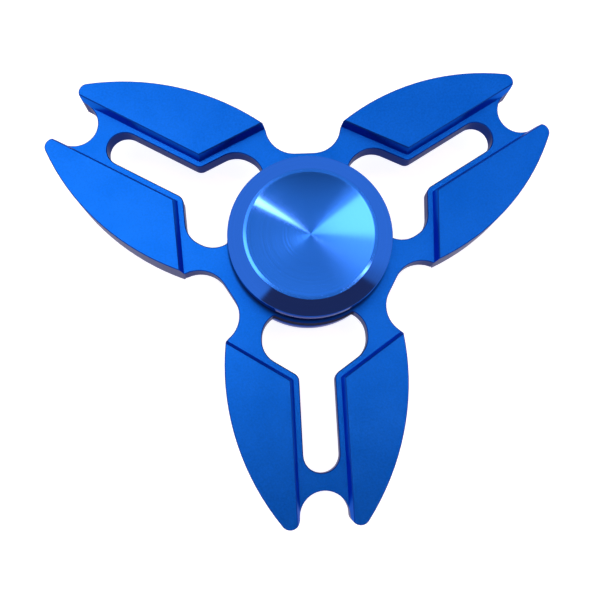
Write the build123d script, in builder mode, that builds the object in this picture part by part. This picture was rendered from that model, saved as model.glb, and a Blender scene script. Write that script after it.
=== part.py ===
"""Three-armed claw fidget spinner: arm frame, deep-groove ball bearing and two finger caps.

Millimetres. The origin is on the spin axis at mid thickness, +Z is up along that axis,
and one arm points along -Y. The upper and lower halves mirror each other about Z = 0.
"""
import math

from build123d import *

# ---- driving sizes ----

# arm frame
arm_count = 3
first_arm = -90  # degrees, where the first arm points
arm_reach = 37.75  # along an arm's axis, spin axis to the claw tips
plate_t = 2.8
pad_step = 1.6  # height of a raised pad over the plate, each face
pad_draft = 15.0  # degrees, slope of the pads' inner walls
pad_inset = 1.2  # pad top edge back from the slot's wall
claw_tip_r = 1.25
claw_mouth_r = 3.25  # round notch between the two tips
claw_half_w = 12.1  # widest half width of an arm
claw_widest_u = 17.6  # where along the arm that is
slot_half_w = 2.4
slot_bridge = 2.25  # metal left between slot and claw mouth
slot_shoulder_u = 18.26  # where the slot starts to widen towards the hub
slot_shoulder_deg = 123.6  # direction of the widening wall from the arm's axis
slot_shoulder_r = 1.2
lobe_half_w = 7.12
lobe_r = 3.4
lobe_back_u = 9.5
lobe_corner_r = 0.35
gap_r = 4.0  # corner radius of the gaps between arms
gap_half_flat = 1.3
web_reach = 12.9  # spin axis to the floor of those gaps
gap_corner_r = 0.6  # where a gap's wall meets the arm's flank
edge_break = 0.12

# hub
hub_wall_r = 11.25  # inner wall of the slots
boss_r = 9.6
boss_break = 0.3
seat_lip_t = 0.2  # shoulder that the bearing is pressed against
seat_lip_w = 0.5

# ball bearing, inch size 1/4 x 1/2 x 3/16
bearing_bore_d = 6.35
bearing_od = 12.7
bearing_w = 4.762
ball_d = 1.588
ball_count = 10
race_clear = 0.03  # ball to groove
race_shoulder = 0.26  # depth of a groove below its land
ring_break = 0.15
shield_recess = 0.85  # depth of the shield's seat from the face
shield_t = 0.2
shield_seat_w = 0.42  # how far the seat goes into the outer ring's land
shield_inner_gap = 0.15
shield_outer_gap = 0.03
shield_under_gap = 0.08  # over the inner ring's step
snap_wire_t = 0.22
snap_wire_w = 0.36
snap_groove_depth = 0.12
snap_clear = 0.02
snap_gap_deg = 40.0
cage_gap = 0.16  # cage to each land
cage_below = 1.05
cage_above = 0.4
pocket_clear = 0.05

# finger caps
cap_d = 22.0
cap_face_d = 17.8
cap_rim_h = 2.4
cap_bevel_h = 0.9
cap_gap = 0.1  # underside above the pads' level
cap_land_w = 0.45  # flat ring round the dished face
cap_dish_depth = 0.7
cap_rim_break = 0.15
cap_spacer_back = 0.25  # spacer's edge back from the inner ring's face edge
stem_clear = 0.015
stem_gap = 0.1  # between the two stems' ends
stud_d = 4.0
stud_len = 4.2
stud_clear = 0.05
stud_break = 0.3
stud_hole_spare = 0.4  # hole deeper than the stud

# fits
press_clear = 0.01

same_place = 0.01  # edges and corners this near a level or a line lie on it

# ---- levels and radii that follow ----
plate_top = plate_t / 2
pad_top = plate_top + pad_step
bearing_top = bearing_w / 2
boss_top = bearing_top + seat_lip_t
cap_under = pad_top + cap_gap
cap_edge = cap_under + cap_rim_h
cap_top = cap_edge + cap_bevel_h

bore_r = bearing_bore_d / 2
seat_r = bearing_od / 2 + press_clear
pitch_r = (bearing_bore_d + bearing_od) / 4
ball_r = ball_d / 2
groove_r = ball_r + race_clear
inner_land_r = pitch_r - groove_r + race_shoulder
outer_land_r = pitch_r + groove_r - race_shoulder

tip_u = arm_reach - claw_tip_r
tip_v = claw_mouth_r + claw_tip_r
slot_end_u = tip_u - claw_mouth_r - slot_bridge
slot_end_centre = slot_end_u - slot_half_w

# The flank is one arc: level at the arm's widest point and tangent to the tip.
rise = claw_half_w - tip_v
flank_r = ((tip_u - claw_widest_u) ** 2 + rise**2 - claw_tip_r**2) / (2 * (rise - claw_tip_r))
flank_v = claw_half_w - flank_r
flank_start_u = web_reach * math.cos(math.pi / arm_count)
flank_start_a = math.asin((flank_start_u - claw_widest_u) / flank_r)
flank_end_a = math.asin((tip_u - claw_widest_u) / (flank_r - claw_tip_r))

# Slot corner and pad foot, on the arm's +V side.
widen = math.radians(slot_shoulder_deg)
lobe_corner_u = slot_shoulder_u + (lobe_half_w - slot_half_w) / math.tan(widen)
foot_inset = pad_inset - pad_step * math.tan(math.radians(pad_draft))
beyond = 2 * claw_half_w  # past the arm's flank
web_disc_r = web_reach + gap_r / 4  # fills the corners between arms before the gaps are cut


def flank_point(angle):
    """Point of the flank arc at an angle from the arm's widest point."""
    return (claw_widest_u + flank_r * math.sin(angle), flank_v + flank_r * math.cos(angle))


def round_point(centre, radius, degrees):
    """Point of a circle in an arm's own U, V frame."""
    angle = math.radians(degrees)
    return (centre[0] + radius * math.cos(angle), centre[1] + radius * math.sin(angle))


def lies_at(edge, height):
    """Whether an edge lies level, at this height above or below the middle plane."""
    box = edge.bounding_box()
    return box.size.Z < same_place and abs(abs(edge.center().Z) - height) < same_place


# ---- outlines, drawn for an arm along +X ----

with BuildSketch() as arm_outline:
    with BuildLine():
        tip_centre = (tip_u, tip_v)
        mouth_centre = (tip_u, 0)
        flank = ThreePointArc(
            flank_point(flank_start_a),
            flank_point((flank_start_a + flank_end_a) / 2),
            flank_point(flank_end_a),
        )
        tip = ThreePointArc(
            flank @ 1,
            round_point(tip_centre, claw_tip_r, -math.degrees(flank_end_a) / 2),
            round_point(tip_centre, claw_tip_r, -90),
        )
        mouth = ThreePointArc(
            tip @ 1,
            round_point(mouth_centre, claw_mouth_r, 135),
            round_point(mouth_centre, claw_mouth_r, 180),
        )
        Polyline(mouth @ 1, (0, 0), flank @ 0)
    make_face()
    mirror(about=Plane.XZ)

with BuildSketch() as slot_outline:
    with BuildLine():
        far_arc = ThreePointArc(
            (slot_end_centre, slot_half_w),
            (slot_end_u, 0),
            (slot_end_centre, -slot_half_w),
        )
        Polyline(
            far_arc @ 1,
            (slot_shoulder_u, -slot_half_w),
            (lobe_corner_u, -lobe_half_w),
            (lobe_back_u, -lobe_half_w),
            (lobe_back_u, lobe_half_w),
            (lobe_corner_u, lobe_half_w),
            (slot_shoulder_u, slot_half_w),
            far_arc @ 0,
        )
    make_face()
    corners = slot_outline.vertices()
    fillet(corners.filter_by(lambda v: abs(v.Y) > lobe_half_w - same_place), lobe_r)
    shoulders = slot_outline.vertices().filter_by(
        lambda v: abs(v.X - slot_shoulder_u) < same_place
    )
    fillet(shoulders, slot_shoulder_r)
    Circle(hub_wall_r, mode=Mode.SUBTRACT)
    hub_corners = slot_outline.vertices().filter_by(
        lambda v: abs(math.hypot(v.X, v.Y) - hub_wall_r) < same_place
    )
    fillet(hub_corners, lobe_corner_r)

# A gap between two arms, its floor across +X.
with BuildSketch() as gap_outline:
    with Locations((web_reach + gap_r, gap_half_flat), (web_reach + gap_r, -gap_half_flat)):
        Circle(gap_r)
    with Locations((web_reach + gap_r, 0)):
        Rectangle(2 * gap_r, 2 * gap_half_flat)

with BuildSketch() as plate_outline:
    with PolarLocations(0, arm_count, start_angle=first_arm):
        add(arm_outline.sketch)
    Circle(web_disc_r)
    with PolarLocations(0, arm_count, start_angle=first_arm + 180 / arm_count):
        add(gap_outline.sketch, mode=Mode.SUBTRACT)
    flank_corners = plate_outline.vertices().filter_by(
        lambda v: web_reach + gap_r / 2 < math.hypot(v.X, v.Y) < web_reach + 2 * gap_r
    )
    fillet(flank_corners, gap_corner_r)
    with PolarLocations(0, arm_count, start_angle=first_arm):
        add(slot_outline.sketch, mode=Mode.SUBTRACT)


def pad_ground(inset):
    """Corners of the ground that one pad may stand on, its inner sides set back from the slot."""
    corner_u = slot_shoulder_u + inset / math.tan(widen / 2)
    corner_v = slot_half_w + inset
    return [
        (corner_u, corner_v),
        (corner_u + (beyond - corner_v) / math.tan(widen), beyond),
        (arm_reach + beyond, beyond),
        (arm_reach + beyond, corner_v),
    ]


# ---- arm frame: one plate with raised pads on both faces and a bored hub ----

with BuildPart() as pad_pair:
    for height, inset in ((plate_top, foot_inset), (pad_top, pad_inset)):
        with BuildSketch(Plane.XY.offset(height)):
            Polygon(*pad_ground(inset), align=None)
    loft(ruled=True)
    mirror(about=Plane.XZ)
    with BuildSketch(Plane.XY.offset(plate_top)):
        add(arm_outline.sketch)
    extrude(amount=pad_step, mode=Mode.INTERSECT)

with BuildPart() as pads:
    with PolarLocations(0, arm_count, start_angle=first_arm):
        add(pad_pair.part)
    with BuildSketch(Plane.XY.offset(plate_top)):
        add(plate_outline.sketch)
    extrude(amount=pad_step, mode=Mode.INTERSECT)

with BuildPart() as arm_frame:
    extrude(plate_outline.sketch, amount=plate_top, both=True)
    add(pads.part)
    mirror(pads.part, about=Plane.XY)
    side_walls = arm_frame.faces().filter_by(
        lambda f: f.bounding_box().min.Z < 0 < f.bounding_box().max.Z
    )
    plate_rims = side_walls.edges().filter_by(lambda e: lies_at(e, plate_top))
    pad_rims = arm_frame.edges().filter_by(lambda e: lies_at(e, pad_top))
    chamfer(plate_rims + pad_rims, edge_break)
    Cylinder(boss_r, 2 * boss_top)
    boss_rims = arm_frame.edges().filter_by(lambda e: lies_at(e, boss_top))
    chamfer(boss_rims, boss_break)
    with Locations((0, 0, boss_top)):
        Cylinder(
            seat_r,
            boss_top + bearing_top,
            align=(Align.CENTER, Align.CENTER, Align.MAX),
            mode=Mode.SUBTRACT,
        )
    Cylinder(seat_r - seat_lip_w, 2 * boss_top, mode=Mode.SUBTRACT)

arm_frame.part.label = "arm_frame"
export_step(arm_frame.part, "parts/arm_frame.step")


# ---- ball bearing: two grooved rings, ten balls in a crown cage, two shields with their wires ----


def upper_and_lower(profile):
    """The profile's own half and its mirror image below Z = 0."""
    return profile + [(r, -z) for r, z in reversed(profile)]


seat_floor = bearing_top - shield_recess
recess_r = outer_land_r + shield_seat_w
wire_floor = seat_floor + shield_t + snap_clear
wire_top = wire_floor + snap_wire_t + snap_clear
groove_wall_r = recess_r + snap_groove_depth
outer_r = bearing_od / 2

with BuildPart() as bearing_outer_ring:
    with BuildSketch(Plane.XZ):
        half = [
            (outer_land_r, 0),
            (outer_land_r, seat_floor),
            (recess_r, seat_floor),
            (recess_r, wire_floor),
            (groove_wall_r, wire_floor),
            (groove_wall_r, wire_top),
            (recess_r, wire_top),
            (recess_r, bearing_top),
            (outer_r - ring_break, bearing_top),
            (outer_r, bearing_top - ring_break),
        ]
        Polygon(*upper_and_lower(half), align=None)
        with Locations((pitch_r, 0)):
            Circle(groove_r, mode=Mode.SUBTRACT)
    revolve(axis=Axis.Z)

bearing_outer_ring.part.label = "bearing_outer_ring"
export_step(bearing_outer_ring.part, "parts/bearing_outer_ring.step")

inner_face_r = inner_land_r - shield_seat_w / 2
shield_bore_r = inner_face_r + shield_inner_gap

with BuildPart() as bearing_inner_ring:
    with BuildSketch(Plane.XZ):
        half = [
            (bore_r, 0),
            (bore_r, bearing_top - ring_break),
            (bore_r + ring_break, bearing_top),
            (inner_face_r, bearing_top),
            (inner_face_r, seat_floor - shield_under_gap),
            (inner_land_r, seat_floor - shield_under_gap),
        ]
        Polygon(*upper_and_lower(half), align=None)
        with Locations((pitch_r, 0)):
            Circle(groove_r, mode=Mode.SUBTRACT)
    revolve(axis=Axis.Z)

bearing_inner_ring.part.label = "bearing_inner_ring"
export_step(bearing_inner_ring.part, "parts/bearing_inner_ring.step")

for index in range(ball_count):
    with BuildPart() as ball:
        with Locations(Location((0, 0, 0), (0, 0, index * 360 / ball_count)) * Location((pitch_r, 0, 0))):
            Sphere(ball_r)
    ball.part.label = f"ball_{index + 1:02d}"
    export_step(ball.part, f"parts/{ball.part.label}.step")

with BuildPart() as ball_cage:
    with BuildSketch(Plane.XY.offset(-cage_below)):
        Circle(outer_land_r - cage_gap)
        Circle(inner_land_r + cage_gap, mode=Mode.SUBTRACT)
    extrude(amount=cage_below + cage_above)
    with PolarLocations(pitch_r, ball_count):
        Cylinder(
            ball_r + pocket_clear,
            2 * (outer_land_r - inner_land_r),
            rotation=(0, 90, 0),
            mode=Mode.SUBTRACT,
        )

ball_cage.part.label = "ball_cage"
export_step(ball_cage.part, "parts/ball_cage.step")

for side, label in ((1, "upper"), (-1, "lower")):
    with BuildPart() as shield:
        with BuildSketch(Plane.XY.offset(side * seat_floor)):
            Circle(recess_r - shield_outer_gap)
            Circle(shield_bore_r, mode=Mode.SUBTRACT)
        extrude(amount=side * shield_t)
    shield.part.label = f"{label}_shield"
    export_step(shield.part, f"parts/{label}_shield.step")

    wire_r = groove_wall_r - snap_clear
    with BuildPart() as snap_wire:
        with BuildSketch(Plane.XZ):
            with Locations((wire_r, side * (wire_floor + wire_top) / 2)):
                Rectangle(snap_wire_w, snap_wire_t, align=(Align.MAX, Align.CENTER))
        revolve(axis=Axis.Z, revolution_arc=360 - snap_gap_deg)
    snap_wire.part.label = f"{label}_snap_wire"
    export_step(snap_wire.part, f"parts/{label}_snap_wire.step")


# ---- finger caps: turned discs whose stems meet inside the inner ring, joined by a stud ----

cap_r = cap_d / 2
face_r = cap_face_d / 2
dish_r = face_r - cap_land_w
dish_sphere_r = (dish_r**2 + cap_dish_depth**2) / (2 * cap_dish_depth)
spacer_r = inner_face_r - cap_spacer_back
stem_r = bore_r - stem_clear
stem_end = stem_gap / 2
stud_r = stud_d / 2

for side, label in ((1, "upper_cap"), (-1, "lower_cap")):
    with BuildPart() as cap:
        with BuildSketch(Plane.XZ) as profile:
            levels = [
                (0, cap_top),
                (face_r, cap_top),
                (cap_r, cap_edge),
                (cap_r, cap_under),
                (spacer_r, cap_under),
                (spacer_r, bearing_top),
                (stem_r, bearing_top),
                (stem_r, stem_end),
                (0, stem_end),
            ]
            Polygon(*[(r, side * z) for r, z in levels], align=None)
            chamfer(profile.vertices().filter_by(lambda v: v.X > dish_r), cap_rim_break)
        revolve(axis=Axis.Z)
        with Locations((0, 0, side * (cap_top - cap_dish_depth + dish_sphere_r))):
            Sphere(dish_sphere_r, mode=Mode.SUBTRACT)
        if side > 0:
            with BuildSketch(Plane.XY.offset(stem_end)):
                Circle(stud_r)
            extrude(amount=-stud_len)
            chamfer(cap.edges().sort_by(Axis.Z)[0], stud_break)
        else:
            with BuildSketch(Plane.XY.offset(-stem_end)):
                Circle(stud_r + stud_clear)
            extrude(amount=stem_gap - stud_len - stud_hole_spare, mode=Mode.SUBTRACT)
    cap.part.label = label
    export_step(cap.part, f"parts/{label}.step")
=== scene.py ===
"""A three-armed claw fidget spinner in blue anodised aluminium, lying on its lower finger cap."""

import math

import bpy
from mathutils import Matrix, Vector


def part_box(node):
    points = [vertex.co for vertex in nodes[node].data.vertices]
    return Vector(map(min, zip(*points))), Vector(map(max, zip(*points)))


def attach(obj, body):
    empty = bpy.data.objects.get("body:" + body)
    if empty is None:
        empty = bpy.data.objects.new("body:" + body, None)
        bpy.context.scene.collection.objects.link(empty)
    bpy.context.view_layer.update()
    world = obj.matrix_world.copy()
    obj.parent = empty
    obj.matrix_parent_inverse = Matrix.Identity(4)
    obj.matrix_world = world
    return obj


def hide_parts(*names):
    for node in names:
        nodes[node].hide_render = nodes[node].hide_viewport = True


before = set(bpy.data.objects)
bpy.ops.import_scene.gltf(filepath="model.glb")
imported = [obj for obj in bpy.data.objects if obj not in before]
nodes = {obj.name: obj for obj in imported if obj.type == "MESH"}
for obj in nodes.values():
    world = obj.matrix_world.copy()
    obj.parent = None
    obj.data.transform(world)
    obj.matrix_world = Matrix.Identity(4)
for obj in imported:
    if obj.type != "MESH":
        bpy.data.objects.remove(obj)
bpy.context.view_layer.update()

# ---- studio ----
# The spinner lies on a white table that glows of its own, which fills its shadows in. The
# room round it is painted by direction: a window, a narrow lamp and a dark onlooker, each
# placed for what the upper cap mirrors to this camera.

scene = bpy.context.scene
scene.view_settings.view_transform = "Standard"
scene.view_settings.look = "None"

camera_data = bpy.data.cameras.new("camera")
camera_data.lens = 48.62
camera_data.sensor_width = 36.0
camera_data.shift_x = -0.0758
camera_data.shift_y = -0.0325
camera_data.clip_start = 0.01
camera_data.clip_end = 10.0
camera = bpy.data.objects.new("camera", camera_data)
camera.location = (-0.00567, -0.02659, 0.10971)
camera.rotation_euler = (math.radians(11.236), math.radians(-4.706), math.radians(-3.672))
scene.collection.objects.link(camera)
scene.camera = camera

table_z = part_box("lower_cap")[0].z - 0.00002  # just under the lower cap, which stands on it
bpy.ops.object.select_all(action="DESELECT")
bpy.ops.mesh.primitive_plane_add(size=3.0, location=(0, 0, table_z))
table = bpy.context.object
table.name = "table_top"
table_finish = bpy.data.materials.new("white_table")
table_finish.use_nodes = True
table_shader = table_finish.node_tree.nodes["Principled BSDF"]
table_shader.inputs["Base Color"].default_value = (0.5, 0.5, 0.5, 1)
table_shader.inputs["Roughness"].default_value = 0.9
table_shader.inputs["Specular IOR Level"].default_value = 0.0
table_shader.inputs["Emission Color"].default_value = (1, 1, 1, 1)
table_shader.inputs["Emission Strength"].default_value = 0.85
table.data.materials.append(table_finish)

room = bpy.data.worlds.new("room")
room.use_nodes = True
scene.world = room
room_tree = room.node_tree
background = room_tree.nodes["Background"]
background.inputs["Strength"].default_value = 1.0
view = room_tree.nodes.new("ShaderNodeTexCoord").outputs["Generated"]


def room_sum(operation, first, second=None):
    """One step of arithmetic on the direction that is looked in."""
    node = room_tree.nodes.new("ShaderNodeMath")
    node.operation = operation
    for socket, value in zip(node.inputs, (first, second)):
        if value is None:
            continue
        if isinstance(value, (int, float)):
            socket.default_value = value
        else:
            room_tree.links.new(value, socket)
    return node.outputs[0]


def room_step(value, start, end, low=0.0, high=1.0):
    """Goes smoothly from low to high while the value goes from start to end."""
    node = room_tree.nodes.new("ShaderNodeMapRange")
    node.interpolation_type = "SMOOTHSTEP"
    room_tree.links.new(value, node.inputs["Value"])
    node.inputs["From Min"].default_value = start
    node.inputs["From Max"].default_value = end
    node.inputs["To Min"].default_value = low
    node.inputs["To Max"].default_value = high
    return node.outputs["Result"]


def near_direction(azimuth, elevation):
    """How well the direction agrees with one given in degrees: the cosine between them."""
    turn, rise = math.radians(azimuth), math.radians(elevation)
    node = room_tree.nodes.new("ShaderNodeVectorMath")
    node.operation = "DOT_PRODUCT"
    room_tree.links.new(view, node.inputs[0])
    node.inputs[1].default_value = (
        math.cos(rise) * math.cos(turn),
        math.cos(rise) * math.sin(turn),
        math.sin(rise),
    )
    return node.outputs["Value"]


parts = room_tree.nodes.new("ShaderNodeSeparateXYZ")
room_tree.links.new(view, parts.inputs[0])
azimuth = room_sum("DEGREES", room_sum("ARCTAN2", parts.outputs["Y"], parts.outputs["X"]))
elevation = room_sum("DEGREES", room_sum("ARCSINE", parts.outputs["Z"]))

# The onlooker: dark from the front up to the shoulder, with a softer edge on the right.
left_edge = room_step(azimuth, -142, -137)
right_edge = room_sum(
    "ADD",
    room_step(azimuth, -28, -22, 0.55, 0.0),
    room_step(azimuth, -24, -3, 0.45, 0.0),
)
upright = room_sum(
    "MULTIPLY", room_step(elevation, 28, 36), room_step(elevation, 68, 80, 1.0, 0.0)
)
onlooker = room_sum("MULTIPLY", room_sum("MULTIPLY", left_edge, right_edge), upright)

# Overhead the room is dimmer than its walls, and darkest where the onlooker bends over.
ceiling = room_step(elevation, 48, 66, 1.25, 0.66)
head = room_step(
    near_direction(-90, 70), math.cos(math.radians(29)), math.cos(math.radians(11)), 1.0, 0.1
)
ceiling = room_sum("MULTIPLY", ceiling, head)

# The window and the warmer lamp fan out from the direction that the middle of the upper cap
# mirrors to the camera. Seen from elsewhere they light the spinner less neatly.
fan_x, fan_y = 0.05, 0.235
aside = room_sum("SUBTRACT", fan_x, parts.outputs["X"])
ahead = room_sum("SUBTRACT", fan_y, parts.outputs["Y"])
bearing = room_sum("DEGREES", room_sum("ARCTAN2", ahead, aside))
aside_squared, ahead_squared = room_sum("POWER", aside, 2), room_sum("POWER", ahead, 2)
reach = room_sum("SQRT", room_sum("ADD", aside_squared, ahead_squared))
near = room_step(reach, 0.38, 0.52, 1.0, 0.0)
window = room_sum("MULTIPLY", room_step(bearing, -16, -2), room_step(bearing, 32, 37, 2.3, 0.0))
glow = room_sum("MULTIPLY", room_step(bearing, -75, -12), room_step(bearing, 26, 56, 1.2, 0.0))
window = room_sum("MULTIPLY", room_sum("ADD", window, glow), near)
lamp = room_sum("MULTIPLY", room_step(bearing, 144, 146), room_step(bearing, 151, 153, 10.0, 0.0))
lamp = room_sum("MULTIPLY", lamp, near)


def tinted(light, colour, rest=None):
    """Gives a light its colour and adds it to the rest of the room."""
    tint = room_tree.nodes.new("ShaderNodeVectorMath")
    tint.operation = "SCALE"
    tint.inputs[0].default_value = colour
    room_tree.links.new(light, tint.inputs["Scale"])
    if rest is None:
        return tint.outputs[0]
    both = room_tree.nodes.new("ShaderNodeVectorMath")
    both.operation = "ADD"
    room_tree.links.new(tint.outputs[0], both.inputs[0])
    room_tree.links.new(rest, both.inputs[1])
    return both.outputs[0]


room_light = tinted(ceiling, (0.95, 0.97, 1.0))
room_light = tinted(window, (1.8, 1.05, 0.95), room_light)
room_light = tinted(lamp, (3.0, 1.05, 0.9), room_light)
seen = room_tree.nodes.new("ShaderNodeMix")
seen.data_type = "RGBA"
seen.inputs["B"].default_value = (0.5, 0.19, 0.19, 1)
room_tree.links.new(onlooker, seen.inputs["Factor"])
room_tree.links.new(room_light, seen.inputs["A"])
room_tree.links.new(seen.outputs["Result"], background.inputs["Color"])


# ---- arm frame ----
# One plate of aluminium with two raised pads on each face of each arm, milled, blasted with
# fine sand and dyed blue in the anodising bath. The bearing is pressed into its hub. Its cut
# walls and broken edges are darkened with a painted dark reflection, and a ring by the hub is
# painted near-black as the shade under the cap.


def out_from_axis(tree, place):
    """How far a point of the piece lies from the axis it spins on."""
    flat = tree.nodes.new("ShaderNodeVectorMath")
    flat.operation = "MULTIPLY"
    flat.inputs[1].default_value = (1, 1, 0)
    tree.links.new(place.outputs["Object"], flat.inputs[0])
    length = tree.nodes.new("ShaderNodeVectorMath")
    length.operation = "LENGTH"
    tree.links.new(flat.outputs[0], length.inputs[0])
    return length.outputs["Value"]


blasted = bpy.data.materials.new("blasted_blue")
blasted.use_nodes = True
tree = blasted.node_tree
shader = tree.nodes["Principled BSDF"]
shader.inputs["Specular Tint"].default_value = (0.5, 0.5, 0.6, 1)
shader.inputs["Specular IOR Level"].default_value = 0.08
place = tree.nodes.new("ShaderNodeTexCoord")

cloud = tree.nodes.new("ShaderNodeTexNoise")  # the dye takes a little unevenly
cloud.inputs["Scale"].default_value = 220.0
cloud.inputs["Detail"].default_value = 3.0
grain = tree.nodes.new("ShaderNodeTexNoise")  # pits of the blasting
grain.inputs["Scale"].default_value = 3600.0
grain.inputs["Detail"].default_value = 2.0
for pattern in (cloud, grain):
    tree.links.new(place.outputs["Object"], pattern.inputs["Vector"])

uneven = tree.nodes.new("ShaderNodeMix")
uneven.data_type = "RGBA"
uneven.inputs["A"].default_value = (0.002, 0.112, 0.63, 1)
uneven.inputs["B"].default_value = (0.006, 0.145, 0.75, 1)
tree.links.new(cloud.outputs["Fac"], uneven.inputs["Factor"])
pitted = tree.nodes.new("ShaderNodeMix")
pitted.data_type = "RGBA"
pitted.blend_type = "MULTIPLY"
pitted.inputs["Factor"].default_value = 0.35
tree.links.new(uneven.outputs["Result"], pitted.inputs["A"])
tree.links.new(grain.outputs["Fac"], pitted.inputs["B"])

slope = tree.nodes.new("ShaderNodeNewGeometry")
split = tree.nodes.new("ShaderNodeSeparateXYZ")
tree.links.new(slope.outputs["True Normal"], split.inputs[0])
level = tree.nodes.new("ShaderNodeMath")
level.operation = "ABSOLUTE"
tree.links.new(split.outputs["Z"], level.inputs[0])
face = tree.nodes.new("ShaderNodeMapRange")  # 1 on faces and pad slopes, 0 on cut walls
face.interpolation_type = "SMOOTHSTEP"
face.inputs["From Min"].default_value = 0.08
face.inputs["From Max"].default_value = 0.2
tree.links.new(level.outputs[0], face.inputs["Value"])
from_axis = out_from_axis(tree, place)
painted_shade_rings = []  # 0 on a dark ring by the hub, painted for the shade under the cap, 1 beyond
for start, end in ((0.0113, 0.0116), (0.0107, 0.0114)):  # on the cut walls, and on the faces
    ring = tree.nodes.new("ShaderNodeMapRange")
    ring.interpolation_type = "SMOOTHSTEP"
    ring.inputs["From Min"].default_value = start
    ring.inputs["From Max"].default_value = end
    tree.links.new(from_axis, ring.inputs["Value"])
    painted_shade_rings.append(ring.outputs["Result"])
# hub is 0 inside the painted shade ring by the hub and 1 beyond it.
hub = tree.nodes.new("ShaderNodeMix")
tree.links.new(face.outputs["Result"], hub.inputs["Factor"])
tree.links.new(painted_shade_rings[0], hub.inputs["A"])
tree.links.new(painted_shade_rings[1], hub.inputs["B"])
# Painted dark reflection: the cut walls get a dark navy colour for the dark surroundings they
# would mirror.
cut = tree.nodes.new("ShaderNodeMix")
cut.data_type = "RGBA"
cut.inputs["A"].default_value = (0.010, 0.026, 0.13, 1)
tree.links.new(face.outputs["Result"], cut.inputs["Factor"])
tree.links.new(pitted.outputs["Result"], cut.inputs["B"])
# Painted dark reflection: the broken edges of the pads are coloured dark navy.
steep = tree.nodes.new("ShaderNodeMapRange")  # the next two leave 1 on the broken edges only
steep.inputs["From Min"].default_value = 0.40
steep.inputs["From Max"].default_value = 0.55
tree.links.new(level.outputs[0], steep.inputs["Value"])
broken = tree.nodes.new("ShaderNodeMapRange")
broken.inputs["From Min"].default_value = 0.82
broken.inputs["From Max"].default_value = 0.93
broken.inputs["To Max"].default_value = 0.0
tree.links.new(level.outputs[0], broken.inputs["Value"])
tree.links.new(steep.outputs["Result"], broken.inputs["To Min"])
edges_painted_dark = tree.nodes.new("ShaderNodeMix")
edges_painted_dark.data_type = "RGBA"
edges_painted_dark.inputs["B"].default_value = (0.004, 0.040, 0.26, 1)
tree.links.new(broken.outputs["Result"], edges_painted_dark.inputs["Factor"])
tree.links.new(cut.outputs["Result"], edges_painted_dark.inputs["A"])
# Painted shade: inside the ring by the hub the colour goes near-black, standing in for the shade
# under the cap.
painted_hub_shade = tree.nodes.new("ShaderNodeMix")
painted_hub_shade.data_type = "RGBA"
painted_hub_shade.inputs["A"].default_value = (0.002, 0.004, 0.04, 1)
tree.links.new(hub.outputs["Result"], painted_hub_shade.inputs["Factor"])
tree.links.new(edges_painted_dark.outputs["Result"], painted_hub_shade.inputs["B"])
tree.links.new(painted_hub_shade.outputs["Result"], shader.inputs["Base Color"])
# Inside the painted shade ring the frame is also made non-metal, and rough below, so it stays
# dark.
tree.links.new(hub.outputs["Result"], shader.inputs["Metallic"])

gloss = tree.nodes.new("ShaderNodeMapRange")
gloss.inputs["To Min"].default_value = 0.30
gloss.inputs["To Max"].default_value = 0.39
tree.links.new(grain.outputs["Fac"], gloss.inputs["Value"])
duller = tree.nodes.new("ShaderNodeMix")
duller.inputs["A"].default_value = 0.9
tree.links.new(hub.outputs["Result"], duller.inputs["Factor"])
tree.links.new(gloss.outputs["Result"], duller.inputs["B"])
tree.links.new(duller.outputs["Result"], shader.inputs["Roughness"])

pits = tree.nodes.new("ShaderNodeBump")
pits.inputs["Strength"].default_value = 0.25
pits.inputs["Distance"].default_value = 0.00004
tree.links.new(grain.outputs["Fac"], pits.inputs["Height"])
tree.links.new(pits.outputs["Normal"], shader.inputs["Normal"])

nodes["arm_frame"].material_slots[0].material = blasted

# ---- finger caps ----
# Two caps turned from aluminium bar, dyed with the frame. Each has a dished face left with
# its turning marks, a polished bevel and rim, and a stem that fills the bearing's bore. The
# upper cap's stud is pushed into the lower cap.

mm = 0.001


def turned_piece(name, rings, steps):
    """Draws a turned shape from ring to ring, from its lowest point to its highest."""
    bpy.ops.object.select_all(action="DESELECT")
    radius, height = rings[0]
    bpy.ops.mesh.primitive_circle_add(
        vertices=steps, radius=radius, fill_type="TRIFAN", location=(0, 0, height)
    )
    piece = bpy.context.object
    piece.name = name
    bpy.ops.object.transform_apply(location=True, rotation=False, scale=False)
    bpy.ops.object.mode_set(mode="EDIT")
    bpy.ops.mesh.select_all(action="DESELECT")
    bpy.ops.mesh.select_mode(type="EDGE")
    bpy.ops.mesh.select_non_manifold()
    for next_radius, next_height in rings[1:]:
        bpy.ops.mesh.extrude_region_move(
            TRANSFORM_OT_translate={"value": (0, 0, next_height - height)}
        )
        if next_radius > 0:
            scale = next_radius / radius
            bpy.ops.transform.resize(value=(scale, scale, 1), center_override=(0, 0, next_height))
        else:
            bpy.ops.mesh.merge(type="CENTER")
        radius, height = next_radius, next_height
    bpy.ops.mesh.select_mode(type="VERT")
    bpy.ops.mesh.select_all(action="SELECT")
    bpy.ops.mesh.normals_make_consistent(inside=False)
    bpy.ops.object.mode_set(mode="OBJECT")
    bpy.ops.object.shade_smooth_by_angle(angle=math.radians(35))
    return piece


def rounded(corner, before, after, radius, count):
    """Rings that round a corner between two neighbouring rings of a profile."""
    corner, before, after = Vector(corner), Vector(before), Vector(after)
    into, out = (corner - before).normalized(), (after - corner).normalized()
    half = into.angle(out) / 2
    back = radius * math.tan(half)
    start, end = corner - into * back, corner + out * back
    rings = []
    for k in range(count + 1):
        t = k / count
        rings.append((start * (1 - t) ** 2 + corner * 2 * t * (1 - t) + end * t**2)[:])
    return rings


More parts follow.
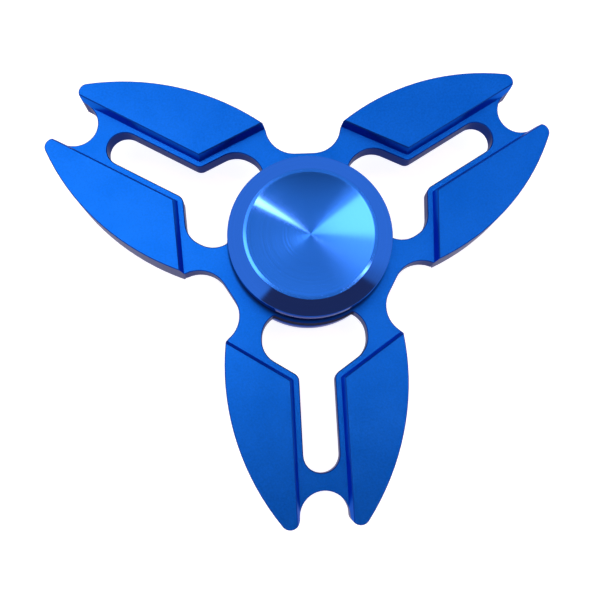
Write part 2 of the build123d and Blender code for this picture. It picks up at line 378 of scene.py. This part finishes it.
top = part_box("upper_cap")[1].z
rim_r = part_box("upper_cap")[1].x
bevel_z = top - 0.9 * mm
under_z = top - 3.3 * mm
land_r = 8.9 * mm
dish_r = 8.45 * mm
dish_depth = 0.7 * mm
spacer_r = 3.74 * mm
seat_z = 2.381 * mm
stem_r = 3.16 * mm
stem_z = 0.05 * mm
stud_r = 2.0 * mm
stud_point = 0.3 * mm
stud_gap = 0.05 * mm
edge_round = 0.12 * mm
edge_steps = 4
dish_lip = 0.05 * mm
face_border = 0.03 * mm
cap_steps = 192

outside = [(spacer_r, seat_z), (spacer_r, under_z)]
for corner, before, after in (
    ((rim_r, under_z), (spacer_r, under_z), (rim_r, bevel_z)),
    ((rim_r, bevel_z), (rim_r, under_z), (land_r, top)),
    ((land_r, top), (rim_r, bevel_z), (dish_r, top)),
):
    outside += rounded(corner, before, after, edge_round, edge_steps)
outside.append((dish_r + dish_lip, top))
outside.append((dish_r, top))
ball_r = (dish_r**2 + dish_depth**2) / (2 * dish_depth)
dish_rings = 28
for k in range(dish_rings):
    r = (dish_r - dish_lip) * (1 - k / dish_rings)
    outside.append((r, top - dish_depth + ball_r - math.sqrt(ball_r**2 - r**2)))
outside.append((0, top - dish_depth))

stud_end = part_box("upper_cap")[0].z
upper_rings = [
    (stud_r - stud_point, stud_end),
    (stud_r, stud_end + stud_point),
    (stud_r, stem_z),
    (stem_r, stem_z),
    (stem_r, seat_z),
] + outside
upper_cap = turned_piece("upper_finger_cap", upper_rings, cap_steps)

hole_r = stud_r + stud_gap
hole_z = 4.55 * mm
lower_rings = [
    (hole_r, hole_z),
    (hole_r, stem_z),
    (stem_r, stem_z),
    (stem_r, seat_z),
] + outside
lower_cap = turned_piece("lower_finger_cap", lower_rings, cap_steps)
bpy.ops.object.mode_set(mode="EDIT")
bpy.ops.mesh.select_all(action="SELECT")
bpy.ops.transform.resize(value=(1, 1, -1), center_override=(0, 0, 0))
bpy.ops.mesh.normals_make_consistent(inside=False)
bpy.ops.object.mode_set(mode="OBJECT")


def turned_finish(name, light, dark, roughness, spread, marks):
    """Dyed aluminium with the fine rings that a turning tool leaves round the axis."""
    finish = bpy.data.materials.new(name)
    finish.use_nodes = True
    tree = finish.node_tree
    shader = tree.nodes["Principled BSDF"]
    shader.inputs["Metallic"].default_value = 1.0
    shader.inputs["Anisotropic"].default_value = spread
    shader.inputs["Anisotropic Rotation"].default_value = 0.25
    around = tree.nodes.new("ShaderNodeTangent")
    around.direction_type = "RADIAL"
    around.axis = "Z"
    tree.links.new(around.outputs["Tangent"], shader.inputs["Tangent"])

    place = tree.nodes.new("ShaderNodeTexCoord")
    rings = tree.nodes.new("ShaderNodeTexNoise")
    rings.noise_dimensions = "1D"
    rings.inputs["Scale"].default_value = 4200.0
    rings.inputs["Detail"].default_value = 3.0
    tree.links.new(out_from_axis(tree, place), rings.inputs["W"])

    shades = tree.nodes.new("ShaderNodeMix")
    shades.data_type = "RGBA"
    shades.inputs["A"].default_value = (*dark, 1)
    shades.inputs["B"].default_value = (*light, 1)
    tree.links.new(rings.outputs["Fac"], shades.inputs["Factor"])
    tree.links.new(shades.outputs["Result"], shader.inputs["Base Color"])

    gloss = tree.nodes.new("ShaderNodeMapRange")
    gloss.inputs["To Min"].default_value = roughness - 0.03
    gloss.inputs["To Max"].default_value = roughness + 0.03
    tree.links.new(rings.outputs["Fac"], gloss.inputs["Value"])
    tree.links.new(gloss.outputs["Result"], shader.inputs["Roughness"])

    tool_marks = tree.nodes.new("ShaderNodeBump")
    tool_marks.inputs["Strength"].default_value = marks
    tool_marks.inputs["Distance"].default_value = 0.000005
    tree.links.new(rings.outputs["Fac"], tool_marks.inputs["Height"])
    tree.links.new(tool_marks.outputs["Normal"], shader.inputs["Normal"])
    return finish


turned_face = turned_finish(
    "turned_blue", (0.030, 0.210, 0.90), (0.024, 0.180, 0.80), 0.115, 1.0, 0.12
)
polished = turned_finish(
    "polished_blue", (0.023, 0.118, 0.54), (0.019, 0.106, 0.49), 0.09, 0.3, 0.05
)
polished_shader = polished.node_tree.nodes["Principled BSDF"]
polished_shader.inputs["Specular Tint"].default_value = (0.25, 0.27, 0.45, 1)

for cap, node in ((upper_cap, "upper_cap"), (lower_cap, "lower_cap")):
    cap.data.materials.append(polished)
    cap.data.materials.append(turned_face)
    for polygon in cap.data.polygons:
        x, y, z = polygon.center
        on_face = math.hypot(x, y) < land_r - face_border and abs(z) > under_z
        polygon.material_index = 1 if on_face else 0
    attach(cap, "finger_caps")
    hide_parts(node)

# ---- ball bearing ----
# Two grooved steel rings with ten polished balls in a crown cage between them, closed by a
# thin shield on each face that a sprung wire holds in its groove.


def steel(name, light, dark, roughness, marks):
    """Ground steel: fine marks of the grinding, which dull it unevenly."""
    finish = bpy.data.materials.new(name)
    finish.use_nodes = True
    tree = finish.node_tree
    shader = tree.nodes["Principled BSDF"]
    shader.inputs["Metallic"].default_value = 1.0
    place = tree.nodes.new("ShaderNodeTexCoord")
    drawn = tree.nodes.new("ShaderNodeMapping")
    drawn.inputs["Scale"].default_value = (1, 1, 4)
    tree.links.new(place.outputs["Object"], drawn.inputs["Vector"])
    scratches = tree.nodes.new("ShaderNodeTexNoise")
    scratches.inputs["Scale"].default_value = 3000.0
    scratches.inputs["Detail"].default_value = 4.0
    tree.links.new(drawn.outputs[0], scratches.inputs["Vector"])
    shades = tree.nodes.new("ShaderNodeMix")
    shades.data_type = "RGBA"
    shades.inputs["A"].default_value = (*dark, 1)
    shades.inputs["B"].default_value = (*light, 1)
    tree.links.new(scratches.outputs["Fac"], shades.inputs["Factor"])
    tree.links.new(shades.outputs["Result"], shader.inputs["Base Color"])
    gloss = tree.nodes.new("ShaderNodeMapRange")
    gloss.inputs["To Min"].default_value = roughness * 0.8
    gloss.inputs["To Max"].default_value = roughness * 1.2
    tree.links.new(scratches.outputs["Fac"], gloss.inputs["Value"])
    tree.links.new(gloss.outputs["Result"], shader.inputs["Roughness"])
    ground = tree.nodes.new("ShaderNodeBump")
    ground.inputs["Strength"].default_value = marks
    ground.inputs["Distance"].default_value = 0.000005
    tree.links.new(scratches.outputs["Fac"], ground.inputs["Height"])
    tree.links.new(ground.outputs["Normal"], shader.inputs["Normal"])
    return finish


ring_steel = steel("ground_steel", (0.62, 0.61, 0.60), (0.50, 0.50, 0.50), 0.22, 0.2)
ball_steel = steel("ball_steel", (0.74, 0.74, 0.75), (0.68, 0.68, 0.70), 0.06, 0.05)
sheet_steel = steel("sheet_steel", (0.52, 0.52, 0.52), (0.42, 0.42, 0.43), 0.34, 0.3)
wire_steel = steel("wire_steel", (0.40, 0.39, 0.38), (0.32, 0.32, 0.32), 0.4, 0.3)

for node in ("bearing_outer_ring", "bearing_inner_ring"):
    nodes[node].material_slots[0].material = ring_steel
for node in ("upper_shield", "lower_shield", "ball_cage"):
    nodes[node].material_slots[0].material = sheet_steel
for node in ("upper_snap_wire", "lower_snap_wire"):
    nodes[node].material_slots[0].material = wire_steel
for node in nodes:
    if node.startswith("ball_") and node != "ball_cage":
        nodes[node].material_slots[0].material = ball_steel
